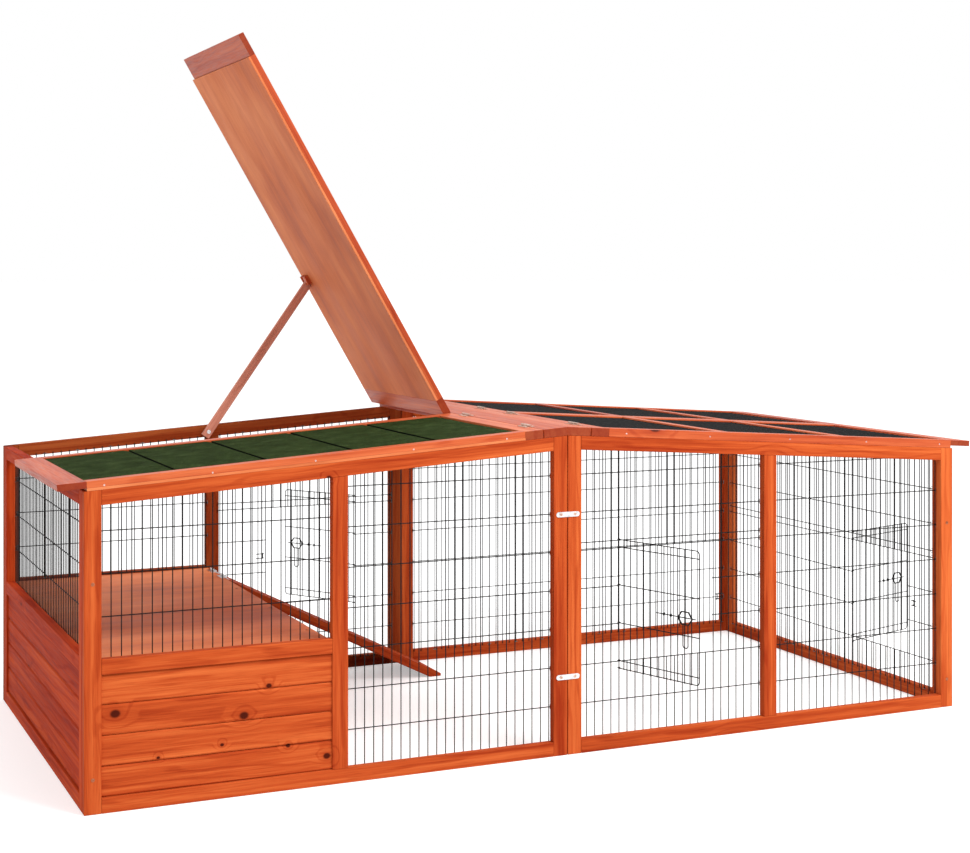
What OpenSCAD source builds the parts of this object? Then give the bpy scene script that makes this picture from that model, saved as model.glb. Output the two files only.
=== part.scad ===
// Outdoor rabbit run: two framed modules joined under a ridge, four roof lids,
// a boarded sleeping end with a raised platform and ramp, and three wire doors.
// Origin: front face of the run, on the ground, where the two modules meet.

/* [Run] */
// Length of one module along the front
module_l = 926; // [800:1:1000]
// Depth of the run from front face to back face
run_d = 938; // [850:1:1000]
// Height of the frames at the outer ends
end_h = 559; // [540:1:600]
// Height of the frames where the modules meet
ridge_h = 621; // [610:1:660]

/* [Battens] */
// Width of an upright frame batten as seen from outside
batten_w = 30; // [26:1:34]
// Height of the level and sloping rails as seen from outside
rail_w = 27; // [24:1:32]
// Thickness of a frame batten
batten_t = 18; // [16:1:22]
// Height of the underside of the rail above the boards
mid_rail_z = 240; // [205:1:242]

/* [Boards] */
// Number of boards stacked under the middle rail
board_count = 4; // [3:1:6]
// Thickness of a board
board_t = 9; // [7:1:11]
// How far the boards lie behind the outer faces
board_inset = 4; // [2:1:6]
// Depth of the groove between two boards
groove = 3; // [1:0.5:4]

/* [Wire mesh] */
// Diameter of every wire
wire_d = 2; // [1.6:0.1:2.4]
// Distance between upright wires
wire_pitch = 18; // [16:1:20]
// Distance between level wires
row_pitch = 75; // [70:1:80]
// Height of the lowest level wire
row_first = 92; // [86:1:100]
// Height of the lowest level wire in the low panels above the boards
short_row_first = 337; // [300:1:338]
// How far the mesh laps over the battens
mesh_lap = 4; // [3:1:10]
// Clearance between wires that cross
wire_clear = 0.1; // [0.05:0.05:0.2]

/* [Wire doors] */
// Number of mesh pitches across a doorway
door_pitches = 12; // [11:1:13]
// Number of rows up a doorway
door_rows = 3; // [2:1:3]
// How far a door laps over its doorway above and below
door_lap = 15; // [12:1:18]
// Corner radius of a door frame
door_corner = 8; // [6:1:12]
// Running clearance of a door curl round its hinge wire
curl_clear = 0.3; // [0.3:0.05:0.5]
// Angle at which the front door stands open
front_door_open = 72; // [0:1:150]
// Angle at which the back door stands open
back_door_open = 58; // [0:1:150]
// Angle at which the end door stands open
end_door_open = 108; // [0:1:150]

/* [Door latches] */
// Width of the six-sided latch ring
latch_ring_w = 36; // [30:1:40]
// Height of the six-sided latch ring
latch_ring_h = 24; // [20:1:28]
// Length of the hanging pull
latch_pull_l = 44; // [35:1:60]
// Width of the hanging pull
latch_pull_w = 13; // [10:1:16]
// Distance from the door's free edge to the tip of the drawn bolt
latch_setback = 6; // [4:1:8]
// How far the bolt slides to lock
latch_travel = 18; // [15:1:20]
// How far the locked bolt reaches past the catch
catch_hold = 8; // [6:1:9]
// Distance between the two catch wires
catch_gap = 10; // [8:1:12]

/* [Roof] */
// Width of each ridge board
ridge_board_w = 50; // [45:1:60]
// Thickness of ridge boards and lids
lid_t = 17; // [16:1:24]
// Overhang of the lids past the ends
lid_overhang = 45; // [30:1:60]
// Gap between a lid and its ridge board
lid_gap = 2; // [1:0.5:3]
// Gap between a closed lid and the frames under it
lid_rest = 0.1; // [0.05:0.05:0.5]
// Gap between the front and back lids
lid_split = 1; // [0.5:0.5:2]
// Width of the lid rail next to the ridge board
lid_head_w = 38; // [35:1:50]
// Width of the lid rail at the outer end
lid_tail_w = 50; // [40:1:60]
// Thickness of the lid rail at the outer end
lid_tail_t = 12; // [10:0.5:15]
// Width of the side rails of a lid
lid_side_w = 25; // [20:1:32]
// Width of the cross bars of a netted lid
lid_bar_w = 25; // [20:1:32]
// Number of cross bars of a netted lid
lid_bars = 2; // [1:1:4]
// Width of the lip outside the netting's edge
lid_lip = 7; // [5:0.5:12]
// How far the slot for the netting lies under the top of a lid
net_drop = 3.5; // [2.5:0.5:5]
// Thickness of the plywood under the side rails
cover_t = 5; // [4:0.5:6]
// Thickness of the roofing felt
felt_t = 3; // [2:0.5:4]
// How far the felt lies under the top of the rails
felt_inset = 2; // [1:0.5:4]
// Number of felt sheets along a lid
felt_sheets = 5; // [3:1:6]
// Gap between two felt sheets
felt_gap = 1.5; // [1:0.5:3]
// Angle of the open lid above level
lid_open = 60; // [50:1:65]

/* [Butt hinges] */
// Length of a hinge along its pin
hinge_l = 42; // [30:1:50]
// Width of one hinge leaf
leaf_w = 10; // [9:1:18]
// Thickness of a hinge leaf
leaf_t = 1.2; // [1:0.1:1.3]
// Outer radius of a hinge knuckle
knuckle_r = 2.6; // [2.6:0.1:3]
// Radius of a hinge pin
pin_r = 1.3; // [1.1:0.1:1.4]
// Radial running clearance of a pin
pin_clear = 0.05; // [0.03:0.01:0.1]
// Distance from a lid's side to its nearest hinge
hinge_inset = 60; // [40:1:100]

/* [Platform and ramp] */
// Height of the platform's top
platform_z = 262; // [245:1:262]
// Thickness of the platform
platform_t = 9; // [6:1:12]
// Height and width of the platform's bearers
bearer_w = 20; // [15:1:25]
// Clearance round the platform
platform_clear = 2; // [1:0.5:4]
// Width of the ramp
ramp_w = 155; // [120:1:200]
// Thickness of the ramp
ramp_t = 18; // [12:1:20]
// Level distance that the ramp covers
ramp_run = 520; // [420:1:560]
// Gap between the ramp and the platform
ramp_gap = 2; // [1:0.5:3]
// Height of the blunt nose at the foot of the ramp
ramp_nose = 6; // [4:1:8]
// Distance from the ramp to the back face of the run
ramp_back = 38; // [36:1:60]

/* [Prop strut] */
// Width of the strut
strut_w = 18; // [16:1:24]
// Thickness of the strut
strut_t = 11; // [8:1:12]
// Angle of the strut above level
strut_angle = 55; // [50:1:60]
// Distance from the outer end of the run to the strut's pivot
strut_u = 450; // [445:1:470]
// Depth of the pivot under the top of the rail
strut_drop = 14; // [14:1:16]
// Length of the strut below its pivot
strut_foot = 13; // [10:1:16]
// Distance from the strut's middle to the back face of the run
strut_back = 29.5; // [29:0.5:31]
// Radius of the pivot screw
strut_screw_r = 2.2; // [2:0.1:2.5]
// Clearance between the strut's tip and the lid
tip_clear = 0.4; // [0.3:0.1:0.6]
// Size of the cleat along the lid
cleat_l = 22; // [18:1:28]
// Width of the cleat's inner block
cleat_w = 16; // [12:1:20]
// Width of the cleat's outer block, next to the rail
cleat_lip = 3.5; // [3:0.5:4]
// Thickness of the cleat
cleat_t = 10; // [8:1:12]
// Clearance beside the strut in the cleat's slot
slot_clear = 1.5; // [1:0.5:1.5]

/* [Fixings] */
// Length of a joining plate
plate_l = 50; // [44:1:58]
// Height of a joining plate
plate_h = 10; // [8:1:14]
// Thickness of a joining plate
plate_t = 1.5; // [1:0.5:2]
// Height of the lower joining plate
plate_low_z = 152; // [120:1:200]
// Height of the upper joining plate
plate_high_z = 468; // [430:1:510]
// Height of the lower corner screws
screw_low_z = 60; // [40:1:200]
// Height of the upper corner screws
screw_high_z = 398; // [300:1:520]
// Number of screws beside the ramp, along the platform's free edge
platform_screws = 3; // [2:1:5]
// Radius of a screw head
screw_r = 3.2; // [2.8:0.1:3.6]
// Height of a screw head
screw_h = 1.2; // [1:0.1:1.5]

/* [Hidden] */
$fn = 32;

fir = [0.80, 0.36, 0.16];
fir_light = [0.87, 0.50, 0.32];
ply = [0.72, 0.42, 0.28];
felt_green = [0.13, 0.27, 0.17];
wire_black = [0.08, 0.08, 0.09];
zinc = [0.80, 0.80, 0.82];

// Roof slope, and heights along a module, where u runs from its outer end
slope = atan((ridge_h - end_h) / module_l);
rail_v = rail_w / cos(slope);
function top_at(u) = end_h + u * tan(slope);

// Uprights of a long panel
mid_post_u = (module_l - batten_w) / 2;
mid_post_end = mid_post_u + batten_w;
ridge_post_u = module_l - batten_w;
mid_rail_top = mid_rail_z + rail_w;

// Stiles of an end frame, where u runs from the front face
stile_u = batten_t;
back_stile_u = run_d - batten_t - batten_w;

// Planes of the wires, measured inwards from the outer face of a frame
wire_r = wire_d / 2;
upright_v = batten_t + wire_r + wire_clear;
level_v = upright_v + wire_d + wire_clear;
mesh_in = level_v + wire_r;
function wire_count(gap) = floor(gap / wire_pitch) + 1;
function wire_margin(gap) = (gap - (wire_count(gap) - 1) * wire_pitch) / 2;
function row_z(k) = row_first + k * row_pitch;

// Doorways: the side panels' start at the sixth wire from the ridge post,
// the end panel's at the fifth wire from the front stile
inner_gap = ridge_post_u - mid_post_end;
end_gap = back_stile_u - stile_u - batten_w;
side_door_skip = 5;
side_door_row = 1;
end_door_skip = 4;
end_door_row = 0;
door_w = door_pitches * wire_pitch;
curl_r = wire_d + curl_clear;
bar_n = -curl_r - wire_d - wire_clear;
latch_n = bar_n - wire_d - curl_clear;
latch_eyes = [door_pitches - 4, door_pitches - 5];
function door_mid_z(first_row) = (row_z(first_row) + row_z(first_row + door_rows)) / 2;

// Bends in a wire swell to this share of its radius
blob = 1.06;

// Lid planes, measured along the slope from the ridge and up from the underside
axis_a = ridge_board_w + lid_gap / 2;
axis_t = lid_t + knuckle_r;
lid_l = module_l / cos(slope) - ridge_board_w - lid_gap + lid_overhang;
lid_w = (run_d - lid_split) / 2;
inner_l = lid_l - lid_head_w - lid_tail_w;
lid_a = ridge_board_w + lid_gap;
lid_swing = lid_open + slope;
net_high = lid_t - net_drop;
net_low = net_high - 2 * wire_d - 3 * wire_clear;
axis_x = axis_a * cos(slope) + axis_t * sin(slope);
axis_z = ridge_h - axis_a * sin(slope) + axis_t * cos(slope);

// Strut: its tip corner stops tip_clear under the open lid
pivot_x = strut_u - module_l;
pivot_z = top_at(strut_u) - strut_drop;
strut_y = run_d - strut_back;
lid_normal = [sin(lid_open), cos(lid_open)];
lid_along = [-cos(lid_open), sin(lid_open)];
pivot_arm = [pivot_x + axis_x, pivot_z - axis_z];
strut_lean = strut_angle + lid_open;
tip_t = lid_rest - axis_t - tip_clear;
strut_l = (tip_t - pivot_arm * lid_normal + strut_w / 2 * cos(strut_lean)) / sin(strut_lean);
tip_a = pivot_arm * lid_along - strut_l * cos(strut_lean);

// Platform, and the ramp hung on its free edge
platform_x0 = mesh_in + platform_clear - module_l;
platform_x1 = mid_post_u - module_l + platform_clear;
platform_y0 = mesh_in + platform_clear;
platform_y1 = run_d - mesh_in - platform_clear;
ramp_axis_x = platform_x1 + ramp_gap / 2;
ramp_axis_z = platform_z + knuckle_r;
ramp_slope = atan(platform_z / ramp_run);
ramp_y0 = run_d - ramp_back - ramp_w;

// How far shapes that become one solid run into each other
overlap = 0.01;

// ---------- helpers ----------

// Flat outline in u and z, made thick inwards from the outer face
module slab(points, thick, from = 0) {
    translate([0, from + thick, 0]) rotate([90, 0, 0]) linear_extrude(thick) polygon(points);
}

module flip_x(on) {
    if (on) mirror([1, 0, 0]) children();
    else children();
}

module flip_y(on) {
    if (on) mirror([0, 1, 0]) children();
    else children();
}

// Puts a long panel, drawn from its outer end, on its side of the run
module long_panel(right, back) {
    translate([0, back ? run_d : 0, 0])
        flip_y(back) flip_x(right) translate([-module_l, 0, 0]) children();
}

// Puts an end panel, drawn along u from the front, at its end of the run
module end_panel(right) {
    flip_x(right) translate([-module_l, 0, 0]) mirror([1, -1, 0]) children();
}

// Straight wire between two points that differ along one axis or two
module wire(from, to, r = wire_r) {
    run = to - from;
    len = norm(run);
    translate(from)
        rotate([0, acos(run[2] / len), atan2(run[1], run[0])]) cylinder(r = r, h = len);
}

// Wire bent through a list of points, with a round blob at each bend
module bent_wire(points) {
    for (i = [0 : len(points) - 2]) wire(points[i], points[i + 1]);
    for (i = [1 : len(points) - 2]) translate(points[i]) sphere(r = wire_r * blob);
}

// ---------- framed panels ----------

module panel_posts() {
    slab([[0, 0], [batten_w, 0], [batten_w, top_at(batten_w)], [0, top_at(0)]], batten_t);
    slab([[mid_post_u, rail_w], [mid_post_end, rail_w],
          [mid_post_end, top_at(mid_post_end) - rail_v],
          [mid_post_u, top_at(mid_post_u) - rail_v]], batten_t);
    slab([[ridge_post_u, 0], [module_l, 0], [module_l, top_at(module_l)],
          [ridge_post_u, top_at(ridge_post_u)]], batten_t);
}

module panel_rails(with_mid_rail) {
    slab([[batten_w, 0], [ridge_post_u, 0], [ridge_post_u, rail_w], [batten_w, rail_w]],
         batten_t);
    slab([[batten_w, top_at(batten_w) - rail_v], [ridge_post_u, top_at(ridge_post_u) - rail_v],
          [ridge_post_u, top_at(ridge_post_u)], [batten_w, top_at(batten_w)]], batten_t);
    if (with_mid_rail) {
        slab([[batten_w, mid_rail_z], [mid_post_u, mid_rail_z], [mid_post_u, mid_rail_top],
              [batten_w, mid_rail_top]], batten_t);
    }
}

module end_stiles() {
    for (u = [stile_u, back_stile_u]) translate([u, 0, 0]) cube([batten_w, batten_t, end_h]);
}

module end_rails(with_mid_rail) {
    heights = with_mid_rail ? [0, mid_rail_z, end_h - rail_w] : [0, end_h - rail_w];
    for (z = heights) {
        translate([stile_u + batten_w, 0, z]) cube([end_gap, batten_t, rail_w]);
    }
}

// Stack of grooved boards that fills an opening below the middle rail
module boards(u0, u1) {
    board_h = (mid_rail_z - rail_w) / board_count;
    outer = board_inset;
    inner = board_inset + board_t;
    for (i = [0 : board_count - 1]) {
        translate([u0, 0, rail_w + i * board_h]) rotate([90, 0, 90]) linear_extrude(u1 - u0)
            polygon([[outer, groove], [outer + groove, 0], [inner, 0], [inner, board_h],
                     [outer + groove, board_h], [outer, board_h - groove]]);
    }
}

// ---------- wire mesh ----------

// Mesh over an opening from u0 to u1, with its lowest level wire at height z_first.
// door is [first wire, first row] or empty.
module mesh(u0, u1, z0, z1, rise, z_first, door = []) {
    gap = u1 - u0;
    count = wire_count(gap);
    first = u0 + wire_margin(gap);
    low = z0 - mesh_lap;
    top_z = z1 + min(mesh_lap + gap * rise, rail_w - wire_d);
    top_row = floor((top_z - z_first) / row_pitch);
    open = len(door) > 0;
    k0 = open ? door[0] : 0;
    k1 = k0 + door_pitches;
    r0 = open ? door[1] : 0;
    r1 = r0 + door_rows;
    for (i = [0 : count - 1]) {
        u = first + i * wire_pitch;
        high = z1 + mesh_lap + (u - u0) * rise;
        if (open && i > k0 && i < k1) {
            wire([u, upright_v, low], [u, upright_v, row_z(r0)]);
            wire([u, upright_v, row_z(r1)], [u, upright_v, high]);
        } else {
            wire([u, upright_v, low], [u, upright_v, high]);
        }
    }
    for (k = [0 : top_row]) {
        z = z_first + k * row_pitch;
        if (open && k > r0 && k < r1) {
            wire([u0 - mesh_lap, level_v, z], [first + k0 * wire_pitch + wire_r, level_v, z]);
            wire([first + k1 * wire_pitch - wire_r, level_v, z], [u1 + mesh_lap, level_v, z]);
        } else {
            wire([u0 - mesh_lap, level_v, z], [u1 + mesh_lap, level_v, z]);
        }
    }
    if (open) {
        z = row_z(r1) + door_lap;
        wire([u0 - mesh_lap, level_v, z], [u1 + mesh_lap, level_v, z]);
    }
}

module outer_mesh(z0, z_first) {
    mesh(batten_w, mid_post_u, z0, top_at(batten_w) - rail_v, tan(slope), z_first);
}

// The doorway lies near the ridge post, so its wires count back from there
module inner_mesh(with_door) {
    first_wire = wire_count(inner_gap) - 1 - side_door_skip - door_pitches;
    mesh(mid_post_end, ridge_post_u, rail_w, top_at(mid_post_end) - rail_v, tan(slope),
         row_first, with_door ? [first_wire, side_door_row] : []);
}

module end_mesh(z0, z_first, with_door) {
    mesh(stile_u + batten_w, back_stile_u, z0, end_h - rail_w, 0, z_first,
         with_door ? [end_door_skip, end_door_row] : []);
}

// ---------- wire doors ----------

// Places of the hinge wires, along u from the start of each panel
side_hinge_u = ridge_post_u - wire_margin(inner_gap) - side_door_skip * wire_pitch;
end_hinge_u = stile_u + batten_w + wire_margin(end_gap)
    + (end_door_skip + door_pitches) * wire_pitch;

// Each of these stands at a hinge wire: +X runs across the closed doorway, -Y points
// out of the run, and the door has swung outwards by its angle
module at_front_door(angle) {
    translate([module_l - side_hinge_u, upright_v, 0]) rotate([0, 0, -angle]) children();
}

module at_back_door(angle) {
    translate([side_hinge_u - module_l, run_d - upright_v, 0])
        rotate([0, 0, 180 - angle]) children();
}

module at_end_door(angle) {
    translate([module_l - upright_v, end_hinge_u, 0]) rotate([0, 0, -90]) flip_y(true)
        rotate([0, 0, -angle]) children();
}

// Wire ring round a shaft that runs along Z
module wire_ring(angle = 360) {
    rotate_extrude(angle = angle) translate([curl_r, 0]) circle(r = wire_r);
}

// Level door wire with its end curled round the hinge wire
module level_door_wire(z, len) {
    translate([0, 0, z]) wire_ring(270);
    wire([0, -curl_r, z], [len, -curl_r, z]);
}

// Rounded corner of a door frame, drawn from level to upright
module door_bend(z, turn) {
    translate([door_w - door_corner, -curl_r, z]) rotate([90, turn, 0])
        rotate_extrude(angle = 90) translate([door_corner, 0]) circle(r = wire_r);
}

module door(first_row) {
    low = row_z(first_row) - door_lap + curl_r;
    high = row_z(first_row + door_rows) + door_lap + curl_r;
    mid = door_mid_z(first_row);
    level_door_wire(low, door_w - door_corner);
    level_door_wire(high, door_w - door_corner);
    door_bend(high - door_corner, 0);
    door_bend(low + door_corner, 90);
    wire([door_w, -curl_r, low + door_corner], [door_w, -curl_r, high - door_corner]);
    for (k = [0 : door_rows]) {
        level_door_wire(row_z(first_row + k) + curl_r, door_w - wire_r - wire_clear);
    }
    for (i = [1 : door_pitches - 1]) {
        wire([i * wire_pitch, bar_n, low - wire_r], [i * wire_pitch, bar_n, high + wire_r]);
    }
    for (i = latch_eyes) {
        translate([i * wire_pitch + wire_d + wire_clear, latch_n, mid])
            rotate([0, 90, 0]) wire_ring();
    }
}

// Bolt with a doubled six-sided ring and a hanging pull, in the door's own place
module latch(first_row) {
    mid = door_mid_z(first_row);
    tip = door_w - latch_setback;
    ring_s = tip - latch_setback - latch_ring_w / 2;
    ring_n = latch_n - wire_d - wire_clear;
    half_w = latch_ring_w / 2;
    half_h = latch_ring_h / 2;
    flat = half_w / 2;
    pull_s = latch_pull_w / 2;
    pull_top = mid - half_h - wire_r - wire_clear;
    pull_low = pull_top - latch_pull_l;
    wire([(latch_eyes[1] - 1) * wire_pitch, latch_n, mid], [tip, latch_n, mid]);
    for (n = [ring_n, ring_n - wire_d - wire_clear]) {
        corners = [[-half_w, 0], [-flat, half_h], [flat, half_h],
                   [half_w, 0], [flat, -half_h], [-flat, -half_h]];
        for (i = [0 : 5]) {
            from = corners[i];
            to = corners[(i + 1) % 6];
            wire([ring_s + from[0], n, mid + from[1]], [ring_s + to[0], n, mid + to[1]]);
            translate([ring_s + to[0], n, mid + to[1]]) sphere(r = wire_r * blob);
        }
    }
    bent_wire([[ring_s - pull_s, ring_n, pull_top],
               [ring_s - pull_s, ring_n, pull_low + pull_s / 2],
               [ring_s - pull_s / 2, ring_n, pull_low],
               [ring_s + pull_s / 2, ring_n, pull_low],
               [ring_s + pull_s, ring_n, pull_low + pull_s / 2],
               [ring_s + pull_s, ring_n, pull_top]]);
}

// Wire staple beside the doorway, which the bolt slides behind
module catch(first_row) {
    mid = door_mid_z(first_row);
    near = door_w - latch_setback + latch_travel - catch_hold;
    far = near + wire_pitch;
    out = latch_n - curl_r;
    half = catch_gap / 2;
    bent_wire([[far, -curl_r, mid + half], [near, -curl_r, mid + half], [near, out, mid + half],
               [near, out, mid - half], [near, -curl_r, mid - half], [far, -curl_r, mid - half]]);
}

// ---------- roof ----------

// Puts a lid, drawn along the slope from the ridge, on its quarter of the roof
module at_lid(right, back, angle = 0) {
    flip_x(!right) translate([0, back ? lid_w + lid_split : 0, ridge_h])
        rotate([0, slope, 0]) translate([axis_a, 0, axis_t])
        rotate([0, -angle, 0]) translate([-axis_a, 0, -axis_t]) children();
}

module ridge_board() {
    cut = lid_t / cos(slope);
    along = ridge_board_w * [cos(slope), -sin(slope)];
    up = lid_t * [sin(slope), cos(slope)];
    foot = [0, ridge_h];
    slab([foot, foot + along, foot + along + up, foot + [0, cut]], run_d);
}

module end_rails_of_lid() {
    translate([lid_a, 0, lid_rest]) cube([lid_head_w, lid_w, lid_t - lid_rest]);
    translate([lid_a + lid_head_w + inner_l, 0, lid_t - lid_tail_t])
        cube([lid_tail_w, lid_w, lid_tail_t]);
}

// Side rails of a lid between two heights, of a given width
module side_rails_of_lid(low, high, wide) {
    for (y = [0, lid_w - wide]) {
        translate([lid_a + lid_head_w - overlap, y, low])
            cube([inner_l + 2 * overlap, wide, high - low]);
    }
}

module boarded_lid_frame() {
    end_rails_of_lid();
    side_rails_of_lid(cover_t, lid_t, lid_side_w);
}

// Frame with a slot round each opening, which holds the netting
module netted_lid_frame() {
    step = (inner_l + lid_bar_w) / (lid_bars + 1);
    end_rails_of_lid();
    side_rails_of_lid(lid_rest, lid_t, lid_lip);
    for (layer = [[lid_rest, net_low], [net_high, lid_t]]) {
        side_rails_of_lid(layer[0], layer[1], lid_side_w);
        for (i = [1 : lid_bars]) {
            translate([lid_a + lid_head_w + i * step - lid_bar_w, lid_side_w - overlap, layer[0]])
                cube([lid_bar_w, lid_w - 2 * (lid_side_w - overlap), layer[1] - layer[0]]);
        }
    }
}

module lid_panel() {
    translate([lid_a + lid_head_w, 0, lid_rest]) cube([inner_l, lid_w, cover_t - lid_rest]);
}

module lid_felt() {
    sheet_l = (inner_l - (felt_sheets - 1) * felt_gap) / felt_sheets;
    for (i = [0 : felt_sheets - 1]) {
        translate([lid_a + lid_head_w + i * (sheet_l + felt_gap), lid_side_w,
                   lid_t - felt_inset - felt_t])
            cube([sheet_l, lid_w - 2 * lid_side_w, felt_t]);
    }
}

// Netting in its slot, between the two end rails
module lid_net() {
    a0 = lid_a + lid_head_w;
    upper = net_high - wire_clear - wire_r;
    lower = upper - wire_d - wire_clear;
    start = lid_lip + wire_clear;
    across = lid_w - 2 * start;
    across_n = wire_count(across);
    along_n = wire_count(inner_l / row_pitch * wire_pitch - wire_pitch);
    step = inner_l / along_n;
    for (i = [0 : across_n - 1]) {
        y = start + wire_margin(across) + i * wire_pitch;
        wire([a0, y, upper], [a0 + inner_l, y, upper]);
    }
    for (i = [0 : along_n - 1]) {
        a = a0 + (i + 0.5) * step;
        wire([a, start, lower], [a, lid_w - start, lower]);
    }
}

// ---------- butt hinges ----------

// One leaf with its knuckles, for a pin along Y and a leaf on the +X side
module leaf(knuckles) {
    third = hinge_l / 3;
    root = knuckle_r + curl_clear;
    translate([root, 0, -knuckle_r]) cube([leaf_w - root, hinge_l, leaf_t]);
    for (k = knuckles) {
        y0 = k * third + (k > 0 ? curl_clear / 2 : 0);
        y1 = (k + 1) * third - (k < 2 ? curl_clear / 2 : 0);
        difference() {
            union() {
                translate([0, y1, 0]) rotate([90, 0, 0]) cylinder(r = knuckle_r, h = y1 - y0);
                translate([knuckle_r / 2, y0, -knuckle_r])
                    cube([root - knuckle_r / 2 + overlap, y1 - y0, leaf_t]);
            }
            translate([0, y1 + 1, 0]) rotate([90, 0, 0])
                cylinder(r = pin_r + pin_clear, h = y1 - y0 + 2);
        }
    }
}

module hinge_pin() {
    translate([0, hinge_l, 0]) rotate([90, 0, 0]) cylinder(r = pin_r, h = hinge_l);
}

// Places along Y of the two hinges of a lid
lid_hinge_y = [hinge_inset, lid_w - hinge_inset - hinge_l];

module lid_leaves() {
    for (y = lid_hinge_y) translate([axis_a, y, axis_t]) leaf([1]);
}

module ridge_leaves() {
    for (y = lid_hinge_y) {
        translate([axis_a, y, axis_t]) {
            mirror([1, 0, 0]) leaf([0, 2]);
            hinge_pin();
        }
    }
}

// ---------- platform, ramp and prop ----------

module ramp_hinge_places() {
    for (y = [ramp_y0 + hinge_l / 3, ramp_y0 + ramp_w - 4 / 3 * hinge_l]) {
        translate([ramp_axis_x, y, ramp_axis_z]) children();
    }
}

module ramp_board() {
    x0 = ramp_gap / 2;
    fall = tan(ramp_slope);
    drop = knuckle_r / cos(ramp_slope);
    thick = ramp_t / cos(ramp_slope);
    top0 = ramp_axis_z - drop;
    points = [[x0, top0 - x0 * fall], [(top0 - ramp_nose) / fall, ramp_nose],
              [(top0 - ramp_nose) / fall, 0], [(top0 - thick) / fall, 0],
              [x0, top0 - thick - x0 * fall]];
    translate([ramp_axis_x, 0, 0]) slab(points, ramp_w, ramp_y0);
}

module bearers() {
    z = platform_z - platform_t - bearer_w;
    x0 = batten_t - module_l;
    x1 = platform_x1 - platform_clear;
    y0 = batten_t;
    y1 = run_d - batten_t;
    for (y = [y0, y1 - bearer_w]) translate([x0, y, z]) cube([x1 - x0, bearer_w, bearer_w]);
    for (x = [x0, x1 - bearer_w]) {
        translate([x, y0 + bearer_w, z]) cube([bearer_w, y1 - y0 - 2 * bearer_w, bearer_w]);
    }
}

module strut() {
    translate([pivot_x, strut_y, pivot_z]) rotate([0, -strut_angle, 0]) difference() {
        translate([-strut_foot, -strut_t / 2, -strut_w / 2])
            cube([strut_foot + strut_l, strut_t, strut_w]);
        translate([0, strut_t, 0]) rotate([90, 0, 0])
            cylinder(r = strut_screw_r + pin_clear, h = 2 * strut_t);
    }
}

// Pivot screw into the back rail, with the spacer that holds the strut off the mesh
module strut_screw() {
    front = strut_y - strut_t / 2 - curl_clear;
    back = strut_y + strut_t / 2 + curl_clear;
    rail = run_d - batten_t;
    translate([pivot_x, front, pivot_z]) rotate([90, 0, 0])
        cylinder(r = strut_w / 4, h = screw_h);
    translate([pivot_x, rail, pivot_z]) rotate([90, 0, 0])
        cylinder(r = strut_screw_r, h = rail - front);
    translate([pivot_x, rail, pivot_z]) rotate([90, 0, 0]) difference() {
        cylinder(r = strut_w / 4, h = rail - back);
        translate([0, 0, -1]) cylinder(r = strut_screw_r + pin_clear, h = rail - back + 2);
    }
}

// Two blocks under the lid, with the strut's tip between them
module cleat() {
    middle = strut_y - lid_w - lid_split;
    half_slot = strut_t / 2 + slot_clear;
    translate([axis_a + tip_a, middle - half_slot - cleat_w, lid_rest - cleat_t])
        cube([cleat_l, cleat_w, cleat_t]);
    translate([axis_a + tip_a, middle + half_slot, lid_rest - cleat_t])
        cube([cleat_l, cleat_lip, cleat_t]);
}

// ---------- fixings ----------

// Screw head on the front or back face of the run
module face_screw(x, z, back, lift = 0) {
    y = back ? run_d + lift + screw_h : -lift;
    translate([x, y, z]) rotate([90, 0, 0]) cylinder(r = screw_r, h = screw_h);
}

// Plates with round ends across the two middle posts
module plates() {
    straight = plate_l - plate_h;
    for (z = [plate_low_z, plate_high_z]) {
        for (y = [0, run_d + plate_t]) {
            translate([0, y, z]) rotate([90, 0, 0]) linear_extrude(plate_t) union() {
                square([straight, plate_h], center = true);
                for (x = [-straight / 2, straight / 2]) translate([x, 0]) circle(d = plate_h);
            }
        }
    }
}

module all_plate_screws() {
    for (z = [plate_low_z, plate_high_z]) {
        for (x = [-batten_w / 2, batten_w / 2]) {
            face_screw(x, z, false, plate_t);
            face_screw(x, z, true, plate_t);
        }
    }
}

// Screws through the corner posts into the end frames, and down into the bearers
module all_frame_screws() {
    corner_x = module_l - batten_w / 2;
    for (z = [screw_low_z, screw_high_z]) {
        for (x = [-corner_x, corner_x]) {
            face_screw(x, z, false);
            face_screw(x, z, true);
        }
    }
    step = ramp_y0 / platform_screws;
    for (i = [1 : platform_screws]) {
        translate([platform_x1 - platform_clear - bearer_w / 2, (i - 0.5) * step, platform_z])
            cylinder(r = screw_r, h = screw_h);
    }
}

// ---------- sub-parts ----------

module front_left_posts() { color(fir) long_panel(false, false) panel_posts(); }
module front_left_rails() { color(fir) long_panel(false, false) panel_rails(true); }
module front_right_posts() { color(fir) long_panel(true, false) panel_posts(); }
module front_right_rails() { color(fir) long_panel(true, false) panel_rails(false); }
module back_left_posts() { color(fir) long_panel(false, true) panel_posts(); }
module back_left_rails() { color(fir) long_panel(false, true) panel_rails(true); }
module back_right_posts() { color(fir) long_panel(true, true) panel_posts(); }
module back_right_rails() { color(fir) long_panel(true, true) panel_rails(false); }
module left_end_stiles() { color(fir) end_panel(false) end_stiles(); }
module left_end_rails() { color(fir) end_panel(false) end_rails(true); }
module right_end_stiles() { color(fir) end_panel(true) end_stiles(); }
module right_end_rails() { color(fir) end_panel(true) end_rails(false); }
module front_boards() { color(fir) long_panel(false, false) boards(batten_w, mid_post_u); }
module back_boards() { color(fir) long_panel(false, true) boards(batten_w, mid_post_u); }
module left_end_boards() {
    color(fir) end_panel(false) boards(stile_u + batten_w, back_stile_u);
}
module front_left_outer_mesh() {
    color(wire_black) long_panel(false, false) outer_mesh(mid_rail_top, short_row_first);
}
module front_left_inner_mesh() { color(wire_black) long_panel(false, false) inner_mesh(false); }
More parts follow.
